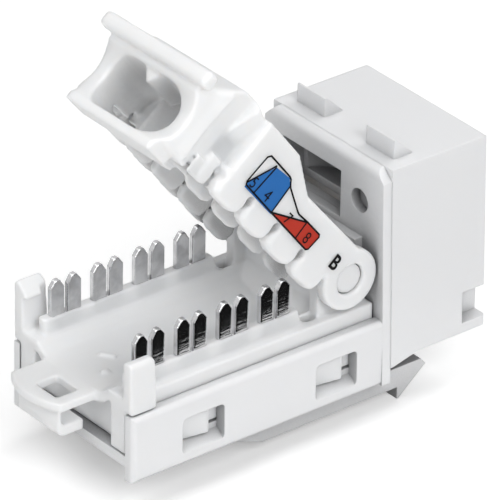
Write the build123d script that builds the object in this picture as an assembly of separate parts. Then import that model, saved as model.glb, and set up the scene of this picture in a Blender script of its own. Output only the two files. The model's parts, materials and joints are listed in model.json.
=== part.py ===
from build123d import *
import math
import os

# Tool-less keystone jack, in millimetres.
# Origin: the port face, on the centre line, level with the underside of the front housing.
# +X points out of the port, +Y to the far side and +Z up.
# The wire cap is modelled where it stands open.

# Front housing
top_width = 14.5            # across the upper edges of the block
bottom_width = 15.4         # across the lower edges: the sides carry draft
block_height = 16.75
jack_depth = 10.5           # port face to the rear of the bulkhead
block_corner_round = 0.35
rear_lip_drop = 0.6         # the underside steps down behind the latch
rear_lip_length = 2.8

# Fixed lugs on top of the housing
lug_rear = 8.4              # behind the port face
lug_length = 1.9
lug_height = 1.6
lug_width = 3.35
lug_gap = 5.1

# Notches at the lower front corners
notch_length = 2.4
notch_low = 0.85
notch_high = 3.6
notch_inset = 1.3

# Port for an eight-position modular plug
port_width = 11.7
port_height = 6.8
port_floor = 3.9
port_depth = 8.9
tab_slot_width = 6.2
tab_slot_height = 1.6
tab_key_width = 3.4
tab_key_height = 0.8
tab_slot_depth = 5.4

# Rear shell
shell_step = 0.05           # the side plates stand in from the block's lower edges
shell_wall = 1.0
shell_top = 3.85
shell_bottom = -1.9
floor_top = 0.2
floor_thickness = 0.9
shell_round = 0.45
bulkhead_thickness = 0.85
bulkhead_corner_cut = 1.0
bulkhead_top_round = 0.7
cable_window_near = 2.15
cable_window_far = 5.0
cable_window_low = 10.7
cable_window_high = 14.8
pocket_ledge = 0.7          # the pocket's floor stands above the window's lower edge
pocket_radius = 3.35
pocket_inset = 0.2
gauge_hole_radius = 1.0
gauge_hole_side = 4.43
gauge_hole_height = 13.2
shelf_half_width = 4.9
shelf_depth = 0.8
shelf_low = 8.9
shelf_high = 10.2

# Snap windows in the side plates, and the tabs that fill them
snap_window_length = 4.05
snap_window_low = -0.9
snap_window_high = 2.2
snap_window_from_rear = 6.8
snap_window_from_bulkhead = 4.55
snap_window_round = 0.4
snap_tab_stand = 0.7
snap_tab_length = 2.85
snap_tab_low = -0.2
snap_slot_length = 0.35

# Contact tray
tray_clearance = 0.1
tray_wall = 0.95
tray_front_gap = 0.15
deck_height = 5.1
deck_thickness = 1.0
trough_rim_gap = 0.3        # flat strip between a rail and the trough
trough_step = 0.6
trough_step_height = 4.6
trough_foot = 1.25
trough_foot_height = 4.35
trough_centre_height = 4.2
rail_ledge = 0.85           # deck outside a rail
rail_thickness = 0.95
rail_top = 6.4
rail_draft = 0.1
rail_front_margin = 1.15    # rail beyond the first blade
rail_rear_margin = 0.85     # rail beyond the last blade
rail_end_slope = 0.5
rail_end_round = 0.4
tray_rear_margin = 0.95     # tray beyond the rail
rear_wall_recess = 0.9
rear_wall_thickness = 0.75
rear_cheek_inner = 4.8

# Corner posts
post_overhang = 0.8
post_inset = 0.25
far_post_top = 9.3
near_post_top = 8.45
post_length_top = 2.3
post_length_foot = 2.75
post_round = 0.3
hook_length = 1.55
hook_reach = 0.55
far_hook_slope = 0.95
near_hook_slope = 0.3
hook_lip_thickness = 0.3

# Cable-tie loop behind the tray
loop_length = 4.25
loop_far = 3.3
loop_near = -3.0
loop_top_thickness = 0.75
loop_bottom = 0.95
loop_bottom_thickness = 0.95
loop_wall = 0.95
loop_bow = 0.9
loop_inset = 0.45           # the lower part stands in from the edge of the top plate
loop_far_inset = 1.1
loop_mouth = 0.8            # the bottom bar ends this far behind the tray
loop_hole_length = 2.0
loop_hole_far = 0.75
loop_hole_near = -1.85

# Cap hinge
hinge_behind_bulkhead = 2.8
hinge_height = 8.25
pin_radius = 1.25
pin_clearance = 0.07
pin_recess = 0.3
lobe_radius = 2.6
tower_gap = 0.15
tower_thickness = 1.1
tower_radius = 2.2
tower_swing_radius = 3.1
stop_drop = 0.6

# Contact blades
blade_first_u = 6.2         # behind the hinge line
blade_pitch = 4.05
blade_count = 4
blade_width = 2.9
blade_thickness = 0.5
blade_top = 9.4
blade_slot = 0.34
blade_slot_depth = 3.1
blade_shoulder = 0.6
blade_peak_width = 0.35
blade_tail_width = 1.0

# Wire cap, drawn closed in its own (u, v) plane: u runs back from the hinge, v up
cap_open_deg = 51.0
cheek_overhang = 0.45
cheek_thickness = 1.15
cheek_root = 3.4
cheek_front = 1.2
tooth_front = 2.4
cheek_end_gap = 0.45        # the cheek ends short of the last wire slot
cheek_top_low = 2.2
cheek_top_high = 4.05
cheek_ramp_start = 9.6
cheek_ramp_end = 13.2
cap_skin = 0.75
cap_space_top = 2.3
swing_clearance = 0.25
comb_gap = 0.85
comb_thickness = 0.6
comb_drop = 0.4             # the inner combs reach lower than the cheeks
tooth_bottom = -3.0
tooth_base = -1.05
tooth_gap = 0.24
tooth_round = 0.95
tooth_edge_round = 0.3
comb_edge_round = 0.25
wire_slot_radius = 0.42
wire_slot_height = -1.35
barrel_inset = 0.4
barrel_mouth_inset = 1.6
barrel_overhang = 4.15      # beyond the shell's rear
barrel_mouth_gap = 1.0      # the mouth stands in from the press bar
barrel_ridge = 4.6
barrel_saddle = 3.2
barrel_edge_round = 1.1
barrel_bottom = -2.9
lip_bottom = -3.75
lip_end_gap = 1.0
lip_half = 5.05
lip_front = 0.45            # behind the tray's rear
keel_bottom = -3.5
keel_start = 2.25           # ahead of the tray's rear
dish_radius = 9.0
dish_depth = 1.05
tunnel_gap = 0.3            # the tunnel is wider than the combs by this
tunnel_low = -2.95
tunnel_high = 1.65
tunnel_round = 1.9
funnel_length = 2.4
funnel_width = 0.8
funnel_rise = 1.6
funnel_round = 2.9
scoop_radius = 3.15
scoop_depth = 1.15
scoop_height = -0.6
rib_drop = 1.05
rib_half_width = 1.3
rib_length = 4.0
keel_half_width = 3.3
bar_low = 2.3
bar_high = 3.6
bar_thickness = 1.35
bar_inset = 0.65
bar_round = 0.4
hook_relief_gap = 0.13
hook_relief_margin = 0.25

# Circuit board, contact carrier and spring wires
board_bottom = 1.0
board_thickness = 1.2
board_front = 9.8
board_rear_gap = 1.75
carrier_edge = 0.77         # carrier beyond the outer wires
carrier_bottom = 1.15
carrier_top = 2.7
carrier_front = 1.0
carrier_fin_height = 0.9
wire_count = 8
wire_pitch = 1.02
wire_width = 0.46
wire_thickness = 0.32
wire_fold_front = 1.7
wire_tip_depth = 8.0
wire_tip_height = 6.1
wire_board_entry = 11.4
wire_bend = 0.5

# Latch arm under the floor
arm_side_gap = 0.65
arm_root = 27.0
arm_top = -2.15
arm_bottom = -3.95
arm_ramp_end = 21.0
arm_root_radius = 0.5
arm_root_clearance = 0.06
arm_root_cover = 2.2
barb_rear = 7.45
barb_tip = 4.6
barb_bottom = -5.0

# Values that follow from the sizes above
top_half = top_width / 2
bottom_half = bottom_width / 2
bulkhead_rear_x = -jack_depth
bulkhead_front_x = bulkhead_rear_x + bulkhead_thickness
shell_half = bottom_half - shell_step
shell_inner = shell_half - shell_wall
floor_bottom = floor_top - floor_thickness
hinge_x = bulkhead_rear_x - hinge_behind_bulkhead
hinge_z = hinge_height
slot_u = [blade_first_u + k * blade_pitch for k in range(blade_count)]
blade_x = [hinge_x - u for u in slot_u]
rail_front_x = blade_x[0] + blade_width / 2 + rail_front_margin
rail_rear_x = blade_x[-1] - blade_width / 2 - rail_rear_margin
rear_x = rail_rear_x - tray_rear_margin
tray_front_x = bulkhead_rear_x - tray_front_gap
tray_half = shell_inner - tray_clearance
rail_outer = tray_half - rail_ledge
rail_inner = rail_outer - rail_thickness
blade_row = (rail_outer + rail_inner) / 2
trough_half_width = rail_inner - trough_rim_gap
post_outer = tray_half + post_overhang
post_inner = tray_half - post_inset
hook_lip = post_inner - hook_reach
hook_front_x = rear_x + hook_length
cheek_outer = tray_half + cheek_overhang
cheek_inner = cheek_outer - cheek_thickness
cheek_end = slot_u[-1] - cheek_end_gap
comb_outer = rail_inner - comb_gap
comb_inner = comb_outer - comb_thickness
tower_outer = cheek_inner - tower_gap
tower_inner = tower_outer - tower_thickness
barrel_end = hinge_x - rear_x + barrel_overhang
mouth_u = barrel_end - barrel_mouth_gap
barrel_half = cheek_outer - barrel_inset
mouth_half = cheek_outer - barrel_mouth_inset
tunnel_half = comb_outer + tunnel_gap
hook_relief = hook_lip - hook_relief_gap
board_half = tray_half - tray_wall - tray_clearance
carrier_half = wire_count * wire_pitch / 2 + carrier_edge
arm_half = shell_inner - arm_side_gap


def outline(points, radius=0.0):
    """Closed face through the points, with every corner rounded by radius."""
    if radius:
        return make_face(FilletPolyline(*points, radius=radius, close=True))
    return make_face(Polyline(*points, close=True))


def along_y(face, y_low, y_high):
    """Extrudes a face drawn in (x, z) from y_low to y_high."""
    return extrude(Plane.XZ.offset(-y_high) * face, y_high - y_low)


def along_x(face, x_low, x_high):
    """Extrudes a face drawn in (y, z) from x_low to x_high."""
    return extrude(Plane.YZ.offset(x_low) * face, x_high - x_low)


def along_z(face, z_low, z_high):
    """Extrudes a face drawn in (x, y) from z_low to z_high."""
    return extrude(Plane.XY.offset(z_low) * face, z_high - z_low)


def block(x, y, z):
    """Box between three (low, high) pairs."""
    size = Box(x[1] - x[0], y[1] - y[0], z[1] - z[0])
    return Pos((x[0] + x[1]) / 2, (y[0] + y[1]) / 2, (z[0] + z[1]) / 2) * size


def rod_y(x, z, radius, y_low, y_high):
    """Cylinder along Y."""
    return along_y(Pos(x, z) * Circle(radius), y_low, y_high)


def both_sides(solid):
    """The solid and its mirror image across the centre plane."""
    return solid + mirror(solid, about=Plane.XZ)


def half_width_at(z):
    """Half width of the drafted block at height z."""
    return bottom_half + (top_half - bottom_half) * z / block_height


def drafted_section(z_low, z_high):
    """Block section in (y, z), wider at the bottom."""
    low = half_width_at(z_low)
    high = half_width_at(z_high)
    return outline([(-low, z_low), (low, z_low), (high, z_high), (-high, z_high)])


def front_housing():
    """Moulded block with the plug port, the two fixed lugs and the corner notches."""
    section = drafted_section(-rear_lip_drop, block_height)
    body = along_x(section, bulkhead_front_x, 0)
    lip_x = bulkhead_front_x + 0.1 * rear_lip_length
    underside = outline([
        (lip_x, -rear_lip_drop),
        (0.1, -rear_lip_drop),
        (0.1, 0),
        (bulkhead_front_x + rear_lip_length, 0),
    ])
    body -= along_y(underside, -bottom_width, bottom_width)
    upright = body.edges().filter_by(lambda e: e.center().X > -0.01 and e.length > block_height / 2)
    body = fillet(upright, block_corner_round)

    port_top = port_floor + port_height
    body -= block((-port_depth, 1), (-port_width / 2, port_width / 2), (port_floor, port_top))
    slot_depth = tab_slot_depth
    slot_top = port_top + tab_slot_height
    body -= block((-slot_depth, 1), (-tab_slot_width / 2, tab_slot_width / 2), (port_top - 0.1, slot_top))
    key_top = slot_top + tab_key_height
    body -= block((-slot_depth, 1), (-tab_key_width / 2, tab_key_width / 2), (slot_top - 0.1, key_top))

    bay = (-carrier_half - tray_clearance, carrier_half + tray_clearance)
    body -= block((bulkhead_front_x - 1, -carrier_front + tray_clearance), bay, (carrier_bottom, port_floor + 0.1))

    pocket_front = bulkhead_front_x + 1.3
    body -= block(
        (bulkhead_front_x - 1, pocket_front),
        (-cable_window_near, cable_window_far),
        (cable_window_low, cable_window_high),
    )
    window_middle = (cable_window_far - cable_window_near) / 2
    round_room = Pos(bulkhead_front_x + pocket_inset, window_middle) * Circle(pocket_radius)
    body -= along_z(round_room, cable_window_low + pocket_ledge, cable_window_high)

    notch_side = along_z(
        outline([(-notch_length, half_width_at(notch_low) - notch_inset),
                 (1, half_width_at(notch_low) - notch_inset),
                 (1, bottom_half + 1),
                 (-notch_length, bottom_half + 1)]),
        notch_low,
        notch_high,
    )
    body -= both_sides(notch_side)

    lug_profile = outline([
        (-lug_rear, block_height - 0.2),
        (-lug_rear, block_height + lug_height),
        (-lug_rear + 0.2, block_height + lug_height),
        (-lug_rear + lug_length, block_height),
        (-lug_rear + lug_length, block_height - 0.2),
    ])
    lug = along_y(lug_profile, lug_gap / 2, lug_gap / 2 + lug_width)
    body += both_sides(lug)
    return body


def bulkhead_section():
    """Upright plate behind the block, with its two upper corners cut off."""
    low = half_width_at(shell_bottom)
    high = half_width_at(block_height)
    cut = bulkhead_corner_cut
    return outline([
        (-low, shell_bottom),
        (low, shell_bottom),
        (high, block_height - cut),
        (high - cut, block_height),
        (-high + cut, block_height),
        (-high, block_height - cut),
    ])


def snap_windows():
    """The (x low, x high) pair of each snap window."""
    half = snap_window_length / 2
    middles = (rear_x + snap_window_from_rear, bulkhead_rear_x - snap_window_from_bulkhead)
    return [(x - half, x + half) for x in middles]


def rear_shell():
    """U-shaped channel with the bulkhead, the floor and the snap windows."""
    section = outline([
        (-shell_half, shell_bottom),
        (-shell_inner, shell_bottom),
        (-shell_inner, floor_bottom),
        (shell_inner, floor_bottom),
        (shell_inner, shell_bottom),
        (shell_half, shell_bottom),
        (shell_half, shell_top),
        (shell_inner, shell_top),
        (shell_inner, floor_top),
        (-shell_inner, floor_top),
        (-shell_inner, shell_top),
        (-shell_half, shell_top),
    ])
    body = along_x(section, rear_x, bulkhead_rear_x)
    outer_long = body.edges().filter_by(Axis.X).filter_by(lambda e: abs(abs(e.center().Y) - shell_half) < 0.01)
    outer_end = body.edges().filter_by(lambda e: e.center().X < rear_x + 0.01
                                       and abs(abs(e.center().Y) - shell_half) < 0.01)
    body = fillet(list(outer_long) + list(outer_end), shell_round)

    plate = along_x(bulkhead_section(), bulkhead_rear_x, bulkhead_front_x)
    plate -= block(
        (bulkhead_rear_x - 1, bulkhead_front_x + 1),
        (-shell_inner, shell_inner),
        (shell_bottom - 1, floor_bottom),
    )
    top_rear = plate.edges().filter_by(
        lambda e: e.center().X < bulkhead_rear_x + 0.01 and e.center().Z > block_height - 0.01)
    plate = fillet(top_rear, bulkhead_top_round)
    body += plate

    body -= block(
        (bulkhead_rear_x - 1, bulkhead_front_x + 1),
        (-cable_window_near, cable_window_far),
        (cable_window_low, cable_window_high),
    )
    gauge = Pos(-gauge_hole_side, gauge_hole_height) * Circle(gauge_hole_radius)
    body -= along_x(gauge, bulkhead_rear_x - 1, bulkhead_front_x + 1)
    board_slot = carrier_half + tray_clearance
    body -= block((bulkhead_rear_x - 1, bulkhead_front_x + 1), (-board_slot, board_slot),
                  (board_bottom - tray_clearance, port_floor - 0.3))
    shelf = block((bulkhead_rear_x - shelf_depth, bulkhead_rear_x), (-shelf_half_width, shelf_half_width),
                  (shelf_low, shelf_high))
    body += shelf

    for low, high in snap_windows():
        face = Pos((low + high) / 2, (snap_window_low + snap_window_high) / 2) * RectangleRounded(
            high - low, snap_window_high - snap_window_low, snap_window_round)
        window = along_y(face, shell_inner, shell_half + 1)
        sill = along_x(
            outline([(shell_inner, snap_window_low - 0.1), (shell_half + 0.1, snap_window_low - 0.1),
                     (shell_half + 0.1, snap_window_low), (shell_inner, snap_tab_low - tray_clearance)]),
            low - 0.5, high + 0.5)
        body -= both_sides(window - sill)

    root_x = -arm_root
    cover = block((root_x - arm_root_cover, root_x), (-shell_inner, shell_inner), (shell_bottom, floor_bottom))
    socket = rod_y(root_x, root_height(), arm_root_radius + arm_root_clearance, -shell_half, shell_half)
    open_side = block(
        (root_x, root_x + 1),
        (-shell_half, shell_half),
        (shell_bottom - 1, floor_bottom),
    )
    cover -= socket + open_side
    body += cover
    return body


def root_height():
    """Height of the line that the latch arm bends about."""
    return shell_bottom + 0.1 + arm_root_radius


def latch_arm():
    """Springy arm under the floor, with the barb that holds the jack in a panel."""
    root_x = -arm_root
    root_z = root_height()
    arm = outline([
        (root_x, root_z - arm_root_radius),
        (root_x + 0.3, root_z - arm_root_radius),
        (-arm_ramp_end, arm_bottom),
        (-barb_rear, arm_bottom),
        (-barb_rear, barb_bottom),
        (-barb_rear + 0.15, barb_bottom),
        (-barb_tip, arm_top - 0.6),
        (-barb_tip - 0.5, arm_top),
        (-arm_ramp_end, arm_top),
        (root_x + 0.6, root_z + arm_root_radius),
        (root_x, root_z + arm_root_radius),
    ])
    body = along_y(arm, -arm_half, arm_half)
    body += rod_y(root_x, root_z, arm_root_radius, -arm_half, arm_half)
    return body


def rail_section():
    """Contact rail in (y, z): a narrow ridge on the deck."""
    foot = deck_height - 0.2
    return outline([
        (rail_inner, foot),
        (rail_inner, rail_top - rail_draft),
        (rail_inner + rail_draft, rail_top),
        (rail_outer - rail_draft, rail_top),
        (rail_outer, rail_top - rail_draft),
        (rail_outer, foot),
    ])


def trough_side(side, drop):
    """Points of one side of the trough in (y, z), from its rim inwards, lowered by drop."""
    half = trough_half_width
    return [
        (side * half, deck_height - drop),
        (side * (half - trough_step), trough_step_height - drop),
        (side * (half - trough_foot), trough_foot_height - drop),
    ]


def trough_section():
    """Deck and trough in (y, z): flat shoulders, steeper sides and a shallow round floor."""
    low = deck_height - deck_thickness
    half = trough_half_width
    foot = half - trough_foot
    over = [*reversed(trough_side(1, 0)), (tray_half, deck_height), (tray_half, low),
            *trough_side(1, deck_thickness)]
    under = [*reversed(trough_side(-1, deck_thickness)), (-tray_half, low), (-tray_half, deck_height),
             *trough_side(-1, 0)]
    floor = ThreePointArc((-foot, trough_foot_height), (0, trough_centre_height), (foot, trough_foot_height))
    belly = ThreePointArc(
        (foot, trough_foot_height - deck_thickness),
        (0, trough_centre_height - deck_thickness),
        (-foot, trough_foot_height - deck_thickness),
    )
    return make_face(Wire([floor, *Polyline(*over).edges(), belly, *Polyline(*under).edges()]))


def corner_post(top, hook_slope):
    """Hooked post at a rear corner, on the far side; its head slopes down to the hook's lip."""
    foot_z = floor_top + tray_clearance
    lean = (post_length_foot - post_length_top) / (top - foot_z)

    def side(low):
        """Outline of the post in (x, z) from height low."""
        return outline([
            (rear_x, low),
            (rear_x, top),
            (rear_x + post_length_top, top),
            (rear_x + post_length_top + lean * (top - low), low),
        ], radius=post_round)

    post = along_y(side(foot_z), post_inner, tray_half)
    post += along_y(side(shell_top + tray_clearance), post_inner, post_outer)
    lip_top = top - hook_slope
    hook = [
        (post_inner + 0.1, lip_top - hook_lip_thickness),
        (hook_lip, lip_top - hook_lip_thickness),
        (hook_lip, lip_top),
        (post_outer - post_round, top),
        (post_inner + 0.1, top),
    ]
    above = [
        (hook_lip, top + 0.1),
        (hook_lip, lip_top),
        (post_outer - post_round, top),
        (post_outer, top - post_round),
        (post_outer + 0.1, top - post_round),
        (post_outer + 0.1, top + 0.1),
    ]
    post += along_x(outline(hook), rear_x, hook_front_x)
    post -= along_x(outline(above), rear_x - 0.1, rear_x + post_length_foot)
    return post


def tie_loop():
    """Loop behind the tray for the cable tie: a slotted plate with a curled wall under it."""
    end_x = rear_x - loop_length
    top = trough_centre_height
    plate_low = top - loop_top_thickness
    middle = (loop_near + loop_far) / 2
    root_x = rear_x + rear_wall_recess + 0.1
    bow = make_face(Wire([
        ThreePointArc((end_x + loop_bow, loop_near), (end_x, middle), (end_x + loop_bow, loop_far)),
        *Polyline((end_x + loop_bow, loop_far), (root_x, loop_far), (root_x, loop_near),
                  (end_x + loop_bow, loop_near)).edges(),
    ]))
    plate = along_z(bow, plate_low, top)
    back = end_x + loop_inset
    mouth = rear_x - loop_mouth
    curl = outline([
        (back, plate_low + 0.1),
        (back, loop_bottom + 1.6),
        (back + 0.35, loop_bottom + 0.6),
        (back + 1.1, loop_bottom),
        (mouth, loop_bottom),
        (mouth, loop_bottom + loop_bottom_thickness),
        (back + loop_wall + 0.3, loop_bottom + loop_bottom_thickness),
        (back + loop_wall, loop_bottom + loop_bottom_thickness + 0.3),
        (back + loop_wall, plate_low + 0.1),
    ])
    wall = along_y(curl, loop_near + loop_inset, loop_far - loop_far_inset)
    wall &= along_z(Pos(loop_inset, 0) * bow, loop_bottom - 1, top)
    slot_rear = back + loop_wall
    slot = block((slot_rear, slot_rear + loop_hole_length), (loop_hole_near, loop_hole_far),
                 (plate_low - 0.1, top + 1))
    return plate + wall.solids()[0] - slot


def hinge_tower():
    """Upright beside the cap's cheek with the pin that the cap turns on, on the far side."""
    foot_z = deck_height - 0.5
    tower = make_face(Pos(hinge_x, hinge_z) * Circle(tower_radius))
    upright = along_y(tower, tower_inner, tower_outer)
    upright += block((hinge_x - tower_radius, hinge_x + tower_radius), (tower_inner, tower_outer),
                     (foot_z, hinge_z))
    pin = rod_y(hinge_x, hinge_z, pin_radius, tower_outer - 0.2, cheek_outer - pin_recess)
    return upright + pin


def blade_blank(x, y, clearance=0.0):
    """Rectangular stock of one blade, used to cut its seat."""
    half = blade_width / 2 + clearance
    thick = blade_thickness / 2 + clearance
    return block((x - half, x + half), (y - thick, y + thick), (board_bottom + board_thickness, blade_top))


def tray_body():
    """Deck with the trough, the side walls and the recessed wall at the rear."""
    body = along_x(trough_section(), rear_x, tray_front_x)
    foot = floor_top + tray_clearance
    low_deck = deck_height - deck_thickness + 0.1
    wall = block((rear_x, tray_front_x), (tray_half - tray_wall, tray_half), (foot, low_deck))
    corner = block((rear_x, rear_x + rear_wall_recess + 0.1), (rear_cheek_inner, tray_half), (foot, low_deck))
    body += both_sides(wall + corner)
    recess = (rear_x + rear_wall_recess, rear_x + rear_wall_recess + rear_wall_thickness)
    body += block(recess, (-tray_half + tray_wall - 0.1, tray_half - tray_wall + 0.1),
                  (foot, trough_centre_height - deck_thickness + 0.2))
    return body


def contact_rail():
    """Rail on the far side, with a sloped front end and rounded rear corners."""
    rail = along_x(rail_section(), rail_rear_x, rail_front_x)
    rail_end = outline([
        (rail_front_x - rail_end_slope, rail_top + 0.1),
        (rail_front_x - rail_end_slope, rail_top),
        (rail_front_x, deck_height - 0.3),
        (rail_front_x + 1, deck_height - 0.3),
        (rail_front_x + 1, rail_top + 0.1),
    ])
    rail -= along_y(rail_end, 0, shell_half)
    upright = rail.edges().filter_by(
        lambda e: e.center().X < rail_rear_x + 0.01 and e.length > 0.7 * (rail_top - deck_height)
        and abs(e.tangent_at(0.5).Z) > 0.9)
    return fillet(upright, rail_end_round)


def idc_tray():
    """Inner moulding: trough, contact rails, hooked posts, hinge towers and tie loop."""
    body = tray_body()
    body += both_sides(contact_rail())

    swing = tower_swing_radius
    stop_top = hinge_z - stop_drop
    stop_wall = along_y(
        outline([
            (hinge_x - swing - 0.4, trough_centre_height - 0.5),
            (hinge_x - 0.35 * swing, deck_height + 0.3),
            (hinge_x - 0.3 * swing, stop_top),
            (tray_front_x - 0.5, stop_top),
            (tray_front_x - 0.5, trough_centre_height - 0.5),
        ]),
        -tower_inner - 0.1,
        tower_inner + 0.1,
    )
    body += stop_wall
    body += both_sides(hinge_tower())
    pocket = block((rail_front_x + 0.2, hinge_x - tower_radius), (rail_inner, tray_half - tray_wall),
                   (floor_top, deck_height + 1))
    body -= both_sides(pocket)

    for low, high in snap_windows():
        tab_rear = low + tray_clearance
        tab_front = tab_rear + snap_tab_length
        tab = along_z(
            outline([(tab_rear, tray_half - 0.1), (tab_rear, tray_half + 0.25),
                     (tab_front, tray_half + snap_tab_stand), (tab_front, tray_half - 0.1)]),
            snap_tab_low,
            snap_window_high - tray_clearance,
        )
        tab -= block((low, high), (0, shell_inner + tray_clearance), (snap_tab_low - 1, floor_top + tray_clearance))
        slit = block((tab_front, tab_front + snap_slot_length), (tray_half - tray_wall - 1, tray_half + 1),
                     (floor_top, snap_window_high))
        body += both_sides(tab)
        body -= both_sides(slit)

    body += corner_post(far_post_top, far_hook_slope)
    body += mirror(corner_post(near_post_top, near_hook_slope), about=Plane.XZ)
    body += tie_loop()
    for x in blade_x:
        body -= both_sides(blade_blank(x, blade_row))
    return body


def idc_blade(x, y):
    """Forked blade: two pointed tines with a wire slot between them, and a tail in the board."""
    half = blade_width / 2
    slot = blade_slot / 2
    peak = (half + slot) / 2
    flat = blade_peak_width / 2
    foot = board_bottom + board_thickness
    side = [
        (slot, blade_top - blade_shoulder - 0.1),
        (peak - flat - 0.12, blade_top - 0.12),
        (peak - flat, blade_top),
        (peak + flat, blade_top),
        (peak + flat + 0.12, blade_top - 0.12),
        (half, blade_top - blade_shoulder),
        (half, foot),
        (blade_tail_width / 2, foot),
        (blade_tail_width / 2, board_bottom),
    ]
    points = [(x + dx, z) for dx, z in side] + [(x - dx, z) for dx, z in reversed(side)]
    face = outline(points)
    slot_foot = blade_top - blade_slot_depth
    face -= Pos(x, slot_foot) * Circle(slot)
    face -= Pos(x, (slot_foot + blade_top) / 2) * Rectangle(blade_slot, blade_top - slot_foot)
    return along_y(face, y - blade_thickness / 2, y + blade_thickness / 2)


def circuit_board():
    """Board under the tray that joins the blades to the spring wires."""
    board = block((rear_x + board_rear_gap, bulkhead_rear_x - tray_clearance), (-board_half, board_half),
                  (board_bottom, board_bottom + board_thickness))
    nose = carrier_half - 0.2
    board += block((-wire_board_entry, -board_front), (-nose, nose), (board_bottom, board_bottom + board_thickness))
    for x in blade_x:
        tail = block((x - blade_tail_width / 2, x + blade_tail_width / 2),
                     (blade_row - blade_thickness / 2, blade_row + blade_thickness / 2),
                     (board_bottom - 1, board_bottom + board_thickness + 1))
        board -= both_sides(tail)
    for y in wire_rows():
        hole = Pos(-wire_board_entry, y) * Rectangle(wire_thickness, wire_width)
        board -= along_z(hole, board_bottom - 1, board_bottom + board_thickness + 1)
    return board


def wire_rows():
    """Sideways places of the spring wires."""
    first = -(wire_count - 1) / 2 * wire_pitch
    return [first + k * wire_pitch for k in range(wire_count)]


def contact_carrier():
    """Comb in the port's floor that keeps the spring wires apart."""
    front_x = -carrier_front
    rear_x = bulkhead_front_x
    carrier = block((rear_x, front_x), (-carrier_half, carrier_half), (carrier_bottom, carrier_top))
    fin_half = (wire_pitch - wire_width) / 2 - 0.05
    for k in range(wire_count + 1):
        y = wire_rows()[0] + (k - 0.5) * wire_pitch
        carrier += block((rear_x, front_x), (y - fin_half, y + fin_half),
                         (carrier_top - 0.1, carrier_top + carrier_fin_height))
    return carrier


def jack_wire(y):
    """Spring wire: up from the board, forward along the carrier and folded back up into the port."""
    run_z = carrier_top + wire_thickness / 2
    path = FilletPolyline(
        (-wire_board_entry, board_bottom),
        (-wire_board_entry, run_z),
        (-wire_fold_front, run_z),
        (-wire_tip_depth, wire_tip_height),
        radius=wire_bend,
    )
    rail = Plane.XZ.offset(-y) * path
    start = Plane(origin=(-wire_board_entry, y, board_bottom), z_dir=(0, 0, 1))
    return sweep(start * Rectangle(wire_thickness, wire_width), path=rail)


def reach(x):
    """u of a place at x, with the cap closed."""
    return hinge_x - x


def cap_side_profile():
    """Closed outline of the cap in (u, v), above its teeth."""
    return outline([
        (cheek_front, cheek_top_low),
        (cheek_ramp_start, cheek_top_low - 0.05),
        (cheek_ramp_end, cheek_top_high - 0.15),
        (cheek_end, cheek_top_high),
        (cheek_end, tooth_base),
        (tooth_front + 0.4, tooth_base),
        (cheek_front, 0),
    ])


def cap_plane(y_high):
    """Plane on which (u, v) outlines of the closed cap are drawn."""
    return Plane(origin=(hinge_x, y_high, hinge_z), x_dir=(-1, 0, 0), z_dir=(0, 1, 0))


def cap_prism(face, y_low, y_high):
    """Extrudes a (u, v) face between two sideways places, with the cap closed."""
    return extrude(cap_plane(y_low) * face, y_high - y_low)


def wire_slot(u):
    """Teardrop slot in (u, v): a round seat with a throat that narrows towards the tooth tips."""
    seat = Pos(u, wire_slot_height) * Circle(wire_slot_radius)
    side = 0.94 * wire_slot_radius
    throat = outline([
        (u - side, wire_slot_height - 0.34 * wire_slot_radius),
        (u + side, wire_slot_height - 0.34 * wire_slot_radius),
        (u + tooth_gap / 2, wire_slot_height - 1.7 * wire_slot_radius),
        (u + tooth_gap / 2, tooth_bottom - comb_drop - 0.1),
        (u - tooth_gap / 2, tooth_bottom - comb_drop - 0.1),
        (u - tooth_gap / 2, wire_slot_height - 1.7 * wire_slot_radius),
    ])
    return seat + throat


def tooth_spans():
    """The (u low, u high) pair of each tooth between the wire slots."""
    half = tooth_gap / 2
    starts = [tooth_front] + [u + half for u in slot_u]
    ends = [u - half for u in slot_u] + [reach(hook_front_x) - hook_relief_margin]
    return list(zip(starts, ends))


def teeth(bottom, y_low, y_high, edge_y, edge_round):
    """Row of cushion-shaped teeth; the edges around the face at edge_y are bevelled."""
    row = []
    for low, high in tooth_spans():
        radius = min(tooth_round, 0.45 * (high - low))
        top = tooth_base + 0.5
        step = 0.27 * radius
        face = outline([
            (low, top),
            (low, bottom + radius),
            (low + step, bottom + step),
            (low + radius, bottom),
            (high - radius, bottom),
            (high - step, bottom + step),
            (high, bottom + radius),
            (high, top),
        ])
        tooth = cap_prism(face, y_low, y_high)
        rim = tooth.edges().filter_by(lambda e: abs(e.center().Y - edge_y) < 0.001)
        row.append(chamfer(rim, edge_round))
    return row


def barrel_slice(u, half, top):
    """Rounded section of the cable barrel across the cap at u."""
    face = Pos(0, (top + barrel_bottom) / 2) * RectangleRounded(2 * half, top - barrel_bottom, barrel_edge_round)
    return cap_section_plane(u) * face


def barrel():
    """Cable barrel: a ridge across the cap that falls to a narrower mouth, with a dished side."""
    ridge_u = cheek_end + 1.3
    saddle_u = mouth_u - 1.8
    middle_half = (barrel_half + mouth_half) / 2 - 0.35
    solid = loft([
        barrel_slice(cheek_end - 0.5, barrel_half, cheek_top_high),
        barrel_slice(ridge_u, barrel_half, barrel_ridge),
        barrel_slice(ridge_u + 1.4, barrel_half - 0.1, barrel_ridge),
        barrel_slice(saddle_u, middle_half, barrel_saddle),
        barrel_slice(mouth_u, mouth_half, barrel_saddle - 0.2),
    ], ruled=True)
    dish = Pos(hinge_x - cheek_end - 0.4, barrel_half + dish_radius - dish_depth, hinge_z - 0.3) * Sphere(dish_radius)
    return solid - both_sides(dish)


def tunnel_section():
    """Section of the cable tunnel in (y, v)."""
    face = RectangleRounded(2 * tunnel_half, tunnel_high - tunnel_low, tunnel_round)
    return Pos(0, (tunnel_high + tunnel_low) / 2) * face


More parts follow.
